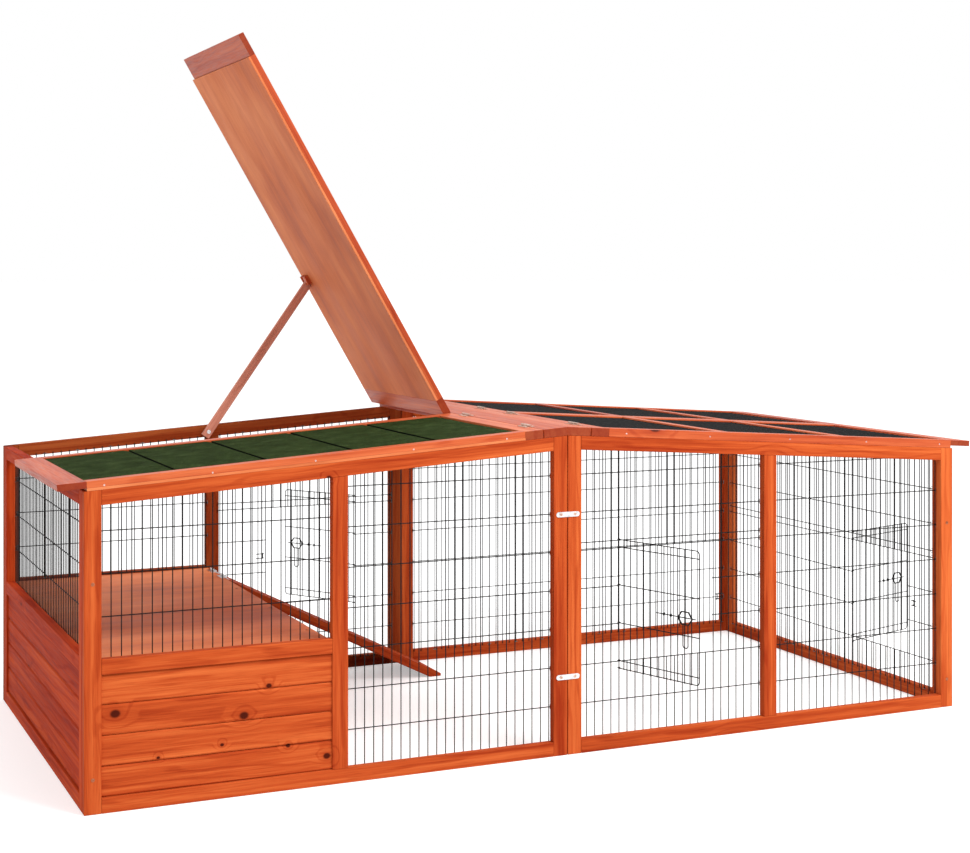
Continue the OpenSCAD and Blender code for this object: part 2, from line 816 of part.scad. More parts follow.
module front_right_outer_mesh() {
    color(wire_black) long_panel(true, false) outer_mesh(rail_w, row_first);
}
module front_right_inner_mesh() { color(wire_black) long_panel(true, false) inner_mesh(true); }
module back_left_outer_mesh() {
    color(wire_black) long_panel(false, true) outer_mesh(mid_rail_top, short_row_first);
}
module back_left_inner_mesh() { color(wire_black) long_panel(false, true) inner_mesh(true); }
module back_right_outer_mesh() {
    color(wire_black) long_panel(true, true) outer_mesh(rail_w, row_first);
}
module back_right_inner_mesh() { color(wire_black) long_panel(true, true) inner_mesh(false); }
module left_end_mesh() {
    color(wire_black) end_panel(false) end_mesh(mid_rail_top, short_row_first, false);
}
module right_end_mesh() { color(wire_black) end_panel(true) end_mesh(rail_w, row_first, true); }
module platform() {
    color(ply) translate([platform_x0, platform_y0, platform_z - platform_t])
        cube([platform_x1 - platform_x0, platform_y1 - platform_y0, platform_t]);
}
module platform_bearers() { color(fir) bearers(); }
module ramp() { color(fir) ramp_board(); }
module ramp_hinge_leaves() {
    color(zinc) ramp_hinge_places() rotate([0, ramp_slope, 0]) leaf([1]);
}
module platform_hinge_leaves() {
    color(zinc) ramp_hinge_places() {
        mirror([1, 0, 0]) leaf([0, 2]);
        hinge_pin();
    }
}
module ridge_board_left() { color(fir_light) mirror([1, 0, 0]) ridge_board(); }
module ridge_board_right() { color(fir_light) ridge_board(); }
module front_left_lid_frame() { color(fir_light) at_lid(false, false) boarded_lid_frame(); }
module front_left_lid_panel() { color(ply) at_lid(false, false) lid_panel(); }
module front_left_lid_felt() { color(felt_green) at_lid(false, false) lid_felt(); }
module back_left_lid_frame() {
    color(fir_light) at_lid(false, true, lid_swing) boarded_lid_frame();
}
module back_left_lid_panel() { color(ply) at_lid(false, true, lid_swing) lid_panel(); }
module back_left_lid_felt() { color(felt_green) at_lid(false, true, lid_swing) lid_felt(); }
module front_right_lid_frame() { color(fir_light) at_lid(true, false) netted_lid_frame(); }
module front_right_lid_net() { color(wire_black) at_lid(true, false) lid_net(); }
module back_right_lid_frame() { color(fir_light) at_lid(true, true) netted_lid_frame(); }
module back_right_lid_net() { color(wire_black) at_lid(true, true) lid_net(); }
module front_left_lid_leaves() { color(zinc) at_lid(false, false) lid_leaves(); }
module back_left_lid_leaves() { color(zinc) at_lid(false, true, lid_swing) lid_leaves(); }
module front_right_lid_leaves() { color(zinc) at_lid(true, false) lid_leaves(); }
module back_right_lid_leaves() { color(zinc) at_lid(true, true) lid_leaves(); }
module ridge_hinge_leaves() {
    color(zinc) for (right = [false, true], back = [false, true]) at_lid(right, back) ridge_leaves();
}
module prop_strut() { color(fir) strut(); }
module prop_screw() { color(zinc) strut_screw(); }
module prop_cleat() { color(fir_light) at_lid(false, true, lid_swing) cleat(); }
module front_door() { color(wire_black) at_front_door(front_door_open) door(side_door_row); }
module back_door() { color(wire_black) at_back_door(back_door_open) door(side_door_row); }
module end_door() { color(wire_black) at_end_door(end_door_open) door(end_door_row); }
module front_door_latch() {
    color(wire_black) at_front_door(front_door_open) latch(side_door_row);
}
module back_door_latch() { color(wire_black) at_back_door(back_door_open) latch(side_door_row); }
module end_door_latch() { color(wire_black) at_end_door(end_door_open) latch(end_door_row); }
module door_catches() {
    color(wire_black) {
        at_front_door(0) catch(side_door_row);
        at_back_door(0) catch(side_door_row);
        at_end_door(0) catch(end_door_row);
    }
}
module joining_plates() { color(zinc) plates(); }
module plate_screws() { color(zinc) all_plate_screws(); }
module frame_screws() { color(zinc) all_frame_screws(); }

front_left_posts();
front_left_rails();
front_right_posts();
front_right_rails();
back_left_posts();
back_left_rails();
back_right_posts();
back_right_rails();
left_end_stiles();
left_end_rails();
right_end_stiles();
right_end_rails();
front_boards();
back_boards();
left_end_boards();
front_left_outer_mesh();
front_left_inner_mesh();
front_right_outer_mesh();
front_right_inner_mesh();
back_left_outer_mesh();
back_left_inner_mesh();
back_right_outer_mesh();
back_right_inner_mesh();
left_end_mesh();
right_end_mesh();
platform();
platform_bearers();
ramp();
ramp_hinge_leaves();
platform_hinge_leaves();
ridge_board_left();
ridge_board_right();
front_left_lid_frame();
front_left_lid_panel();
front_left_lid_felt();
back_left_lid_frame();
back_left_lid_panel();
back_left_lid_felt();
front_right_lid_frame();
front_right_lid_net();
back_right_lid_frame();
back_right_lid_net();
front_left_lid_leaves();
back_left_lid_leaves();
front_right_lid_leaves();
back_right_lid_leaves();
ridge_hinge_leaves();
prop_strut();
prop_screw();
prop_cleat();
front_door();
back_door();
end_door();
front_door_latch();
back_door_latch();
end_door_latch();
door_catches();
joining_plates();
plate_screws();
frame_screws();
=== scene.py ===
"""Looks of the outdoor rabbit run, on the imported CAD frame.

Stained fir battens and boards with their grain and knots, plywood, mineral roofing felt,
black wire and zinc fittings, and the small fixings that the CAD solids leave out.
Lengths are in metres.
"""

import math
from random import Random

import bmesh
import bpy
from mathutils import Matrix, Vector


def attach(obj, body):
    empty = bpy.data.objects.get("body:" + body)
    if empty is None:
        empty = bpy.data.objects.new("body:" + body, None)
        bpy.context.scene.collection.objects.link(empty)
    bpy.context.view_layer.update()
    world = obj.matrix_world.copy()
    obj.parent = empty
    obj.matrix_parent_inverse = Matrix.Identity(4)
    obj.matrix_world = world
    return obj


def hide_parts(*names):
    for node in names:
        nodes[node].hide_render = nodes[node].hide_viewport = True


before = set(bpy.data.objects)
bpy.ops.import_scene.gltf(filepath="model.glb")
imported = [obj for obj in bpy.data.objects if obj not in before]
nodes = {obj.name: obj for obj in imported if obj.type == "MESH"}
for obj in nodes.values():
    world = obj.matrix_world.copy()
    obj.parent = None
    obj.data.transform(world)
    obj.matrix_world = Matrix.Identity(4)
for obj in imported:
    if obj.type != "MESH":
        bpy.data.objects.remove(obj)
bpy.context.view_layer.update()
draw = Random(11)

MM = 0.001
X, Y, Z = Vector((1, 0, 0)), Vector((0, 1, 0)), Vector((0, 0, 1))

# Studio: the lamps' power, and how far the floor is lifted towards white where it is seen
FRONT_SOFTBOX_W = 145
TOP_SOFTBOX_W = 8
FLOOR_LIFT = 0.42

# Roof lids: the sizes of their rails, and where their hinge axes lie
RUN_D = 938 * MM
RIDGE_H = 621 * MM
END_H = 559 * MM
MODULE_L = 926 * MM
RIDGE_BOARD_W = 50 * MM
LID_T = 17 * MM
LID_GAP = 2 * MM
LID_SPLIT = 1 * MM
LID_REST = 0.1 * MM
LID_HEAD_W = 38 * MM
LID_TAIL_W = 50 * MM
LID_TAIL_T = 12 * MM
LID_SIDE_W = 25 * MM
LID_BAR_W = 25 * MM
LID_BARS = 2
LID_LIP = 7 * MM
NET_HIGH = 13.5 * MM
NET_LOW = 9.2 * MM
LID_OVERHANG = 45 * MM
COVER_T = 5 * MM
KNUCKLE_R = 2.6 * MM
LID_OPEN = math.radians(60)
SLOPE = math.atan((RIDGE_H - END_H) / MODULE_L)
LID_W = (RUN_D - LID_SPLIT) / 2
AXIS_A = RIDGE_BOARD_W + LID_GAP / 2
AXIS_T = LID_T + KNUCKLE_R
LID_A = RIDGE_BOARD_W + LID_GAP
LID_L = MODULE_L / math.cos(SLOPE) - RIDGE_BOARD_W - LID_GAP + LID_OVERHANG
INNER_L = LID_L - LID_HEAD_W - LID_TAIL_W

# Felt sheets on a boarded lid
FELT_SHEETS = 5
FELT_GAP = 1.5 * MM
FELT_T = 3 * MM
FELT_INSET = 2 * MM
FELT_DIP = 2.3 * MM
FELT_DIP_W = 9 * MM
FELT_WAVE = 0.25 * MM
FELT_STEPS_A = 18
FELT_STEPS_Y = 44
FELT_SHEET_L = (INNER_L - (FELT_SHEETS - 1) * FELT_GAP) / FELT_SHEETS

# Dark strips under the seams between the felt sheets, as painted shade in the gaps
SEAM_W = 26 * MM
SEAM_T = 0.8 * MM
SEAM_EDGE = 0.2 * MM

# Boards under the middle rails, in their panel's own axes
BATTEN_W = 30 * MM
BATTEN_T = 18 * MM
BOARDS_LOW = 27 * MM
BOARDS_HIGH = 240 * MM
BOARD_COUNT = 4
BOARD_OUT = 4 * MM
BOARD_IN = 13 * MM
GROOVE = 3 * MM
BOARD_JOINT = 0.35 * MM
MID_POST_U = (MODULE_L - BATTEN_W) / 2

# Where the posts of the two modules meet
JOINT_NEAR = 0.5 * MM
JOINT_HALF = 0.8 * MM

# Butt hinges
HINGE_L = 42 * MM
LEAF_T = 1.2 * MM
HINGE_INSET = 60 * MM
HINGE_SCREW_OUT = 6.5 * MM
HINGE_SCREW_END = 8 * MM
HINGE_SCREW_R = 2.6 * MM
HINGE_SCREW_H = 0.7 * MM

# Screw heads: how finely they are cut, and shares of their radius or height
HEAD_RINGS = 9
HEAD_SPOKES = 40
HEAD_DOME = 0.75
RECESS_ARM = 0.13
RECESS_REACH = 0.62
RECESS_DEPTH = 0.55
RECESS_FLOOR = 0.4

# Nails along the outer side of a lid
NAIL_PITCH = 191 * MM
NAIL_FIRST = 77 * MM
NAIL_HEIGHT = 7.5 * MM
NAIL_R = 1.8 * MM
NAIL_H = 0.5 * MM
NAIL_SUNK = 0.35 * MM

# Staples over the ends of the mesh's wires: one for every few upright wires
STAPLE_STEP = 4
STAPLE_IN = 1.8 * MM
STAPLE_BAND = 45 * MM
STAPLE_CROWN = 9 * MM
STAPLE_WIRE = 1.1 * MM
STAPLE_BEND = 1.2 * STAPLE_WIRE
STAPLE_SIDES = 6
STAPLE_BITE = 1.6 * MM
LEVEL_WIRE_LIFT = 2.1 * MM

# Cleaning of CAD meshes: points this near are one, and faces this flat are joined
WELD = 0.002 * MM
FLAT = math.radians(0.5)

# Rounding of sawn edges
BATTEN_EDGE = 1.1 * MM
LID_EDGE = 0.8 * MM
BOARD_EDGE = 0.5 * MM
PLY_EDGE = 0.4 * MM
STRUT_EDGE = 0.7 * MM

# Wood patterns: their changes per metre, along and across the fibres, and their weights
WARP = (1.6, 12)
BROAD = (1.3, 34)
STREAK = (2.6, 150)
FIBRE = (18, 700)
MOOD = (0.35, 0.9)
BROAD_SHARE = 0.50
STREAK_SHARE = 0.30
FIBRE_SHARE = 0.12
MOOD_SHARE = 0.30
LATE_SHARE = -0.06
SAWN_END_SHARE = 0.75
SAWN_END_TONE = 0.6

# Year rings across the board, in radians per metre, and what bends them
RINGS = 290.0
RING_WARP = 34.0
RING_KNOT_PULL = 10.0

# Scattered knots: cells per metre, how few cells have one, and the radii in a cell
KNOT_CELLS = (5, 13)
KNOT_RARITY = 0.62
KNOT_CORE = (0.035, 0.075)
KNOT_REACH = 0.42

# Plywood patterns and their weights, and its plies in radians per metre of thickness
PLY_STREAK = (2.6, 21)
PLY_FLAME = (5.0, 9)
PLY_FIBRE = (22, 520)
PLY_STREAK_SHARE = 0.45
PLY_FLAME_SHARE = 0.45
PLY_FIBRE_SHARE = 0.18
PLIES = 3600.0


# ---------- camera, light and floor ----------


def camera():
    """The photograph's view: level, with the frame shifted."""
    data = bpy.data.cameras.new("camera")
    data.sensor_width = 36
    data.lens = 65.95
    data.shift_x = -0.0648
    data.shift_y = -0.1529
    data.clip_end = 1000
    eye = bpy.data.objects.new("camera", data)
    eye.location = (-1.507, -3.110, 0.927)
    eye.rotation_euler = (math.radians(90), 0, math.radians(-25.21))
    bpy.context.scene.collection.objects.link(eye)
    bpy.context.scene.camera = eye


def softbox(name, place, target, size, power):
    data = bpy.data.lights.new(name, "AREA")
    data.shape = "RECTANGLE"
    data.size, data.size_y = size
    data.energy = power
    lamp = bpy.data.objects.new(name, data)
    lamp.location = place
    lamp.rotation_euler = (Vector(target) - Vector(place)).to_track_quat("-Z", "Y").to_euler()
    bpy.context.scene.collection.objects.link(lamp)


def studio():
    world = bpy.data.worlds.new("studio")
    world.use_nodes = True
    world.node_tree.nodes["Background"].inputs["Color"].default_value = (1, 1, 1, 1)
    world.node_tree.nodes["Background"].inputs["Strength"].default_value = 1.0
    bpy.context.scene.world = world
    bpy.context.scene.view_settings.view_transform = "Standard"
    middle = (0, RUN_D / 2, 0.3)
    softbox("front_softbox", (1.1, -2.3, 3.6), middle, (1.8, 1.2), FRONT_SOFTBOX_W)
    softbox("top_softbox", (0, 0.5, 4.2), middle, (3.0, 3.0), TOP_SOFTBOX_W)


def floor():
    """A white floor. Its lift shows only to the camera and in reflections, and lights nothing."""
    bm = bmesh.new()
    bmesh.ops.create_circle(bm, cap_ends=True, segments=96, radius=400)
    mesh = bpy.data.meshes.new("studio_floor")
    bm.to_mesh(mesh)
    bm.free()
    ground = bpy.data.objects.new("studio_floor", mesh)
    ground.location.z = -0.2 * MM
    bpy.context.scene.collection.objects.link(ground)
    shade = Shader("studio_floor", roughness=1.0, specular=0.0)
    cloud = shade.noise(shade.place(), 0.4, 2)
    shade.colour(shade.ramp(cloud, [(0.3, (0.78, 0.78, 0.78)), (0.7, (0.80, 0.80, 0.80))]))
    shade.surface.inputs["Emission Color"].default_value = (1, 1, 1, 1)
    rays = shade.node("LightPath").outputs
    seen = shade.math("MAXIMUM", rays["Is Camera Ray"], rays["Is Glossy Ray"])
    seen = shade.math("MULTIPLY", seen, FLOOR_LIFT)
    shade.feed(shade.surface.inputs["Emission Strength"], seen)
    mesh.materials.append(shade.material)


# ---------- materials ----------


class Shader:
    """A Principled material whose nodes are added by short calls."""

    def __init__(self, name, roughness=0.5, metallic=0.0, specular=0.5):
        self.material = bpy.data.materials.new(name)
        self.material.use_nodes = True
        self.tree = self.material.node_tree
        self.surface = self.tree.nodes["Principled BSDF"]
        self.surface.inputs["Roughness"].default_value = roughness
        self.surface.inputs["Metallic"].default_value = metallic
        self.surface.inputs["Specular IOR Level"].default_value = specular

    def node(self, kind, *values, **settings):
        made = self.tree.nodes.new("ShaderNode" + kind)
        for name, value in settings.items():
            setattr(made, name, value)
        for socket, value in zip(made.inputs, values):
            self.feed(socket, value)
        return made

    def feed(self, socket, value):
        if isinstance(value, bpy.types.NodeSocket):
            self.tree.links.new(value, socket)
        elif value is not None:
            socket.default_value = value

    def place(self):
        return self.node("TexCoord").outputs["Object"]

    def attribute(self, name, output="Vector"):
        return self.node("Attribute", attribute_name=name).outputs[output]

    def stretched(self, vector, along, across):
        size = (along, across, across)
        return self.node("VectorMath", vector, size, operation="MULTIPLY").outputs[0]

    def noise(self, vector, scale, detail=2, roughness=0.5):
        made = self.node("TexNoise")
        self.feed(made.inputs["Vector"], vector)
        made.inputs["Scale"].default_value = scale
        made.inputs["Detail"].default_value = detail
        made.inputs["Roughness"].default_value = roughness
        return made.outputs["Fac"]

    def cells(self, vector, scale):
        made = self.node("TexVoronoi")
        self.feed(made.inputs["Vector"], vector)
        made.inputs["Scale"].default_value = scale
        return made.outputs["Distance"], made.outputs["Color"]

    def math(self, operation, *values):
        return self.node("Math", *values, operation=operation).outputs[0]

    def smooth(self, value, low, high, to_low=0.0, to_high=1.0):
        made = self.node("MapRange", value, low, high, to_low, to_high)
        made.interpolation_type = "SMOOTHSTEP"
        return made.outputs[0]

    def ramp(self, fac, stops):
        made = self.node("ValToRGB", fac)
        elements = made.color_ramp.elements
        while len(elements) < len(stops):
            elements.new(1.0)
        for element, (position, colour) in zip(elements, stops):
            element.position = position
            element.color = (*colour, 1)
        return made.outputs["Color"]

    def mix(self, fac, first, second, blend="MIX"):
        made = self.node("Mix", data_type="RGBA", blend_type=blend)
        self.feed(made.inputs["Factor"], fac)
        for socket, value in ((made.inputs[6], first), (made.inputs[7], second)):
            self.feed(socket, value if isinstance(value, bpy.types.NodeSocket) else (*value, 1))
        return made.outputs[2]

    def colour(self, value):
        self.feed(self.surface.inputs["Base Color"], value)

    def roughness(self, fac, low, high):
        self.feed(self.surface.inputs["Roughness"], self.smooth(fac, 0.25, 0.75, low, high))

    def bump(self, height, depth, strength=1.0):
        made = self.node("Bump")
        made.inputs["Strength"].default_value = strength
        made.inputs["Distance"].default_value = depth
        self.feed(made.inputs["Height"], height)
        self.feed(self.surface.inputs["Normal"], made.outputs["Normal"])


def knot_field(shade, grain):
    """Scattered knots: a mask of the knots themselves, and how strongly they pull the grain."""
    near, pick = shade.cells(shade.stretched(grain, *KNOT_CELLS), 1.0)
    chance = shade.node("SeparateColor", pick).outputs[0]
    chosen = shade.math("GREATER_THAN", chance, KNOT_RARITY)
    mask = shade.math("MULTIPLY", shade.smooth(near, *KNOT_CORE, 1, 0), chosen)
    pull = shade.math("MULTIPLY", shade.smooth(near, 0.0, KNOT_REACH, 1, 0), chosen)
    return mask, pull


def placed_knots(shade, knots):
    """Knots at chosen places of the front panel, as (x, height, radius)."""
    place = shade.place()
    mask, pull = None, None
    for x, height, radius in knots:
        apart = shade.node("VectorMath", place, (x, 0, height), operation="SUBTRACT").outputs[0]
        apart = shade.node("VectorMath", apart, (0.8, 0, 1), operation="MULTIPLY").outputs[0]
        far = shade.node("VectorMath", apart, operation="LENGTH").outputs["Value"]
        this = shade.smooth(far, 0.55 * radius, 1.1 * radius, 1, 0)
        bend = shade.smooth(far, 0, 4.5 * radius, 1, 0)
        mask = this if mask is None else shade.math("MAXIMUM", mask, this)
        pull = bend if pull is None else shade.math("MAXIMUM", pull, bend)
    return mask, pull


def wood(name, dark, middle, light, knot, knots=None, roughness=0.55, specular=0.02):
    """Stained softwood. grain holds each board's own place, with x along its fibres."""
    shade = Shader(name, roughness=roughness, specular=specular)
    grain = shade.attribute("grain")
    mask, pull = placed_knots(shade, knots) if knots else knot_field(shade, grain)
    warp = shade.noise(shade.stretched(grain, *WARP), 1.0, 3, 0.6)
    parts = shade.node("SeparateXYZ", grain).outputs
    across = shade.math("MULTIPLY_ADD", parts[2], 0.45, parts[1])
    phase = shade.math("MULTIPLY_ADD", warp, RING_WARP, shade.math("MULTIPLY", across, RINGS))
    phase = shade.math("MULTIPLY_ADD", pull, RING_KNOT_PULL, phase)
    rings = shade.math("MULTIPLY_ADD", shade.math("SINE", phase), 0.5, 0.5)
    late = shade.smooth(rings, 0.0, 0.30, 1, 0)
    broad = shade.noise(shade.stretched(grain, *BROAD), 1.0, 4, 0.6)
    streak = shade.noise(shade.stretched(grain, *STREAK), 1.0, 3, 0.6)
    fibre = shade.noise(shade.stretched(grain, *FIBRE), 1.0, 2, 0.6)
    mood = shade.noise(shade.stretched(grain, *MOOD), 1.0, 1)
    fac = shade.math("MULTIPLY", broad, BROAD_SHARE)
    for pattern, share in ((streak, STREAK_SHARE), (fibre, FIBRE_SHARE),
                           (mood, MOOD_SHARE), (late, LATE_SHARE)):
        fac = shade.math("MULTIPLY_ADD", pattern, share, fac)
    tone = shade.ramp(fac, [(0.44, dark), (0.59, middle), (0.76, light)])
    pores = shade.smooth(fibre, 0.30, 0.46, 0.86, 1.0)
    pores = shade.node("CombineColor", pores, pores, pores).outputs[0]
    tone = shade.mix(1.0, tone, pores, "MULTIPLY")
    sawn = shade.math("MULTIPLY", shade.attribute("end_grain", "Fac"), SAWN_END_SHARE)
    tone = shade.mix(sawn, tone, [SAWN_END_TONE * c for c in dark])
    halo = shade.math("MULTIPLY", shade.smooth(pull, 0.45, 1.0), 0.45)
    tone = shade.mix(halo, tone, dark)
    shade.colour(shade.mix(mask, tone, knot))
    shade.roughness(fibre, roughness - 0.05, roughness + 0.15)
    shade.bump(shade.math("MULTIPLY_ADD", streak, 0.6, fibre), 0.25 * MM, 0.45)
    return shade.material


# A copy of a wood's tones at a lower brightness, used as painted shade
def darker(wood_look, factor):
    return {name: tuple(factor * c for c in tone) for name, tone in wood_look.items()}


def plywood():
    """Stained plywood with long soft streaks and its plies on the edges."""
    shade = Shader("salmon_plywood", roughness=0.6, specular=0.15)
    grain = shade.attribute("grain")
    streak = shade.noise(shade.stretched(grain, *PLY_STREAK), 1.0, 5, 0.65)
    flame = shade.noise(shade.stretched(grain, *PLY_FLAME), 1.0, 3)
    fibre = shade.noise(shade.stretched(grain, *PLY_FIBRE), 1.0, 3, 0.6)
    fac = shade.math("MULTIPLY", streak, PLY_STREAK_SHARE)
    fac = shade.math("MULTIPLY_ADD", flame, PLY_FLAME_SHARE, fac)
    fac = shade.math("MULTIPLY_ADD", fibre, PLY_FIBRE_SHARE, fac)
    tone = shade.ramp(fac, [(0.38, (0.42, 0.085, 0.024)), (0.53, (0.61, 0.160, 0.052)),
                            (0.70, (0.76, 0.26, 0.105))])
    through = shade.node("SeparateXYZ", grain).outputs[2]
    ply = shade.math("SINE", shade.math("MULTIPLY", through, PLIES))
    ply = shade.smooth(ply, -0.4, 0.4, 0.2, 0.75)
    edge = shade.math("MULTIPLY", shade.attribute("end_grain", "Fac"), ply)
    shade.colour(shade.mix(edge, tone, (0.25, 0.07, 0.035)))
    shade.roughness(streak, 0.5, 0.66)
    shade.bump(fibre, 0.2 * MM, 0.5)
    return shade.material


def felt(name="mineral_felt", bright=1.0):
    """Green mineral felt: coarse granules over a black bituminous base."""
    shade = Shader(name, roughness=0.93, specular=0.03)
    place = shade.place()
    near, pick = shade.cells(place, 900)
    grit = shade.node("SeparateColor", pick).outputs[0]
    cloud = shade.noise(place, 26, 4, 0.6)
    fac = shade.math("MULTIPLY_ADD", cloud, 0.55, shade.math("MULTIPLY", grit, 0.45))
    stops = [(0.28, (0.005, 0.011, 0.002)), (0.52, (0.023, 0.037, 0.008)),
             (0.74, (0.040, 0.070, 0.020)), (0.86, (0.15, 0.17, 0.07))]
    granules = shade.ramp(fac, [(at, [bright * c for c in tone]) for at, tone in stops])
    cut_edge = shade.attribute("end_grain", "Fac")
    shade.colour(shade.mix(cut_edge, granules, (0.002, 0.003, 0.001)))
    shade.bump(shade.math("MULTIPLY_ADD", near, -0.7, grit), 0.7 * MM, 0.9)
    return shade.material


def black_wire():
    """Black coated wire: a satin skin with small runs and dull patches."""
    shade = Shader("black_wire", roughness=0.45, specular=0.12)
    place = shade.place()
    patch = shade.noise(place, 60, 3)
    shade.colour(shade.ramp(patch, [(0.35, (0.003, 0.003, 0.003)), (0.65, (0.010, 0.009, 0.009))]))
    shade.roughness(patch, 0.38, 0.58)
    shade.bump(shade.noise(place, 420, 2), 0.1 * MM, 0.5)
    return shade.material


def metal(name, dark, light):
    """Plated steel with a faint spangle."""
    shade = Shader(name, roughness=0.34, metallic=1.0)
    place = shade.place()
    spangle = shade.node("SeparateColor", shade.cells(place, 320)[1]).outputs[0]
    cloud = shade.noise(place, 90, 3)
    fac = shade.math("MULTIPLY_ADD", spangle, 0.35, shade.math("MULTIPLY", cloud, 0.65))
    shade.colour(shade.ramp(fac, [(0.25, dark), (0.75, light)]))
    shade.roughness(fac, 0.26, 0.48)
    shade.bump(cloud, 0.1 * MM, 0.3)
    return shade.material


FRONT_KNOTS = [
    (-0.872, 0.170, 0.0085), (-0.643, 0.143, 0.0080), (-0.597, 0.192, 0.0050),
    (-0.488, 0.053, 0.0065), (-0.683, 0.095, 0.0034), (-0.561, 0.080, 0.0042),
    (-0.797, 0.085, 0.0030), (-0.596, 0.546, 0.0030), (-0.485, 0.562, 0.0048),
]
STAIN = dict(dark=(0.30, 0.030, 0.007), middle=(0.48, 0.075, 0.017), light=(0.68, 0.155, 0.040),
             knot=(0.070, 0.009, 0.004))
# Left end: darker, redder fir tones, as painted shade on the side that gets less light
LEFT_END_STAIN_AND_PAINTED_SHADE = dict(dark=(0.26, 0.016, 0.003), middle=(0.42, 0.040, 0.008),
                 light=(0.59, 0.088, 0.019), knot=(0.060, 0.007, 0.003))
PALE_STAIN = dict(dark=(0.32, 0.034, 0.009), middle=(0.48, 0.078, 0.021),
                  light=(0.64, 0.150, 0.048), knot=(0.08, 0.011, 0.005))
PINK_STAIN = dict(dark=(0.46, 0.160, 0.105), middle=(0.62, 0.250, 0.175),
                  light=(0.72, 0.350, 0.260), knot=(0.14, 0.030, 0.018))

fir = wood("stained_fir", **STAIN)
front_fir = wood("stained_fir_front", **STAIN, knots=FRONT_KNOTS)
# Back of the left module: the fir tones at half brightness, as painted shade under its felted roof
painted_shade_fir = wood("painted_shade_fir", **darker(STAIN, 0.5))
left_end_painted_shade_fir = wood("left_end_painted_shade_fir", **LEFT_END_STAIN_AND_PAINTED_SHADE)
pale_fir = wood("pale_fir", **PALE_STAIN, roughness=0.36, specular=0.16)
pink_fir = wood("pink_fir", **PINK_STAIN)
salmon_ply = plywood()
green_felt = felt()
# Darkened felt for the strips under the seams: painted shade
seam_shade_felt = felt("seam_shade_strip", 0.25)
coated_wire = black_wire()
plated = metal("zinc_plate", (0.52, 0.52, 0.53), (0.86, 0.86, 0.87))
stained_zinc = metal("stained_zinc", (0.50, 0.33, 0.26), (0.80, 0.60, 0.50))
stained_screw = metal("stained_screw", (0.30, 0.10, 0.05), (0.52, 0.20, 0.11))
screw_steel = metal("screw_steel", (0.10, 0.095, 0.09), (0.24, 0.23, 0.22))


# ---------- meshes ----------


class Pile:
    """Collects solids into one mesh, with each board's grain kept in attributes."""

    def __init__(self):
        self.points, self.faces, self.grain, self.ends = [], [], [], []

    def add(self, bm, matrix=Matrix.Identity(4), frame_of_grain=None):
        """Adds bm, placed by matrix. frame_of_grain turns a vector into the board's own axes."""
        start = len(self.points)
        offset = Vector((draw.uniform(-6, 6), draw.uniform(-2, 2), draw.uniform(-2, 2)))
        turn = frame_of_grain or Matrix.Identity(3)
        middle = sum((v.co for v in bm.verts), Vector()) / len(bm.verts)
        bm.verts.index_update()
        for v in bm.verts:
            self.points.append(matrix @ v.co)
            self.grain.append(turn @ (v.co - middle) + offset)
        mirrored = matrix.determinant() < 0
        for f in bm.faces:
            corners = [start + v.index for v in f.verts]
            self.faces.append(corners[::-1] if mirrored else corners)
            self.ends.append(1.0 if abs((turn @ f.normal).x) > 0.8 else 0.0)
        bm.free()

    def object(self, name, material, body, slot, *replaced):
        mesh = bpy.data.meshes.new(name)
        mesh.from_pydata([tuple(p) for p in self.points], [], self.faces)
        grain = mesh.attributes.new("grain", "FLOAT_VECTOR", "POINT")
        grain.data.foreach_set("vector", [c for g in self.grain for c in g])
        ends = mesh.attributes.new("end_grain", "FLOAT", "FACE")
        ends.data.foreach_set("value", self.ends)
        mesh.materials.append(material)
        piece = bpy.data.objects.new(name, mesh)
        bpy.context.scene.collection.objects.link(piece)
        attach(piece, body)
        if replaced:
            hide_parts(*replaced)
        return piece


def loose_solids(node):
    """A CAD node as one clean bmesh, and the faces of each of its solids, in no fixed order."""
    whole = bmesh.new()
    whole.from_mesh(nodes[node].data)
    bmesh.ops.remove_doubles(whole, verts=whole.verts, dist=WELD)
    bmesh.ops.dissolve_limit(whole, angle_limit=FLAT, verts=whole.verts, edges=whole.edges)
    waiting = set(whole.faces)
    solids = []
    while waiting:
        reached, todo = set(), [waiting.pop()]
        while todo:
            face = todo.pop()
            if face in reached:
                continue
            reached.add(face)
            waiting.discard(face)
            todo += [g for e in face.edges for g in e.link_faces if g not in reached]
        solids.append(sorted(reached, key=lambda f: f.index))
    return whole, solids


def copied(faces):
    """A new bmesh of these faces."""
    part = bmesh.new()
    made = {}
    for face in faces:
        for v in face.verts:
            if v not in made:
                made[v] = part.verts.new(v.co)
        part.faces.new([made[v] for v in face.verts])
    part.normal_update()
    return part


def round_edges(bm, width, least=25):
    sharp = [e for e in bm.edges
             if len(e.link_faces) == 2 and e.calc_face_angle() > math.radians(least)]
    bmesh.ops.bevel(bm, geom=sharp, offset=width, segments=2, profile=0.5, affect="EDGES",
                    clamp_overlap=True)
    bm.normal_update()


def grain_frame(bm, along=None):
    """Axes of a board: its longest edge, then the wider and the thinner way across."""
    longest = max(bm.edges, key=lambda e: e.calc_length())
    first = along or (longest.verts[1].co - longest.verts[0].co).normalized()
    helper = Z if abs(first.dot(Z)) < 0.9 else Y
    second = first.cross(helper).normalized()
    third = first.cross(second)
    spread = [max(v.co.dot(a) for v in bm.verts) - min(v.co.dot(a) for v in bm.verts)
              for a in (second, third)]
    if spread[0] < spread[1]:
        second, third = third, second
    return Matrix((first, second, third))


def open_joint(bm):
    """Draws the face of a post at the modules' joint back, so that the joint shows as a line."""
    side = sum(v.co.x for v in bm.verts)
    for v in bm.verts:
        if abs(v.co.x) < JOINT_NEAR:
            v.co.x = math.copysign(JOINT_HALF, side)


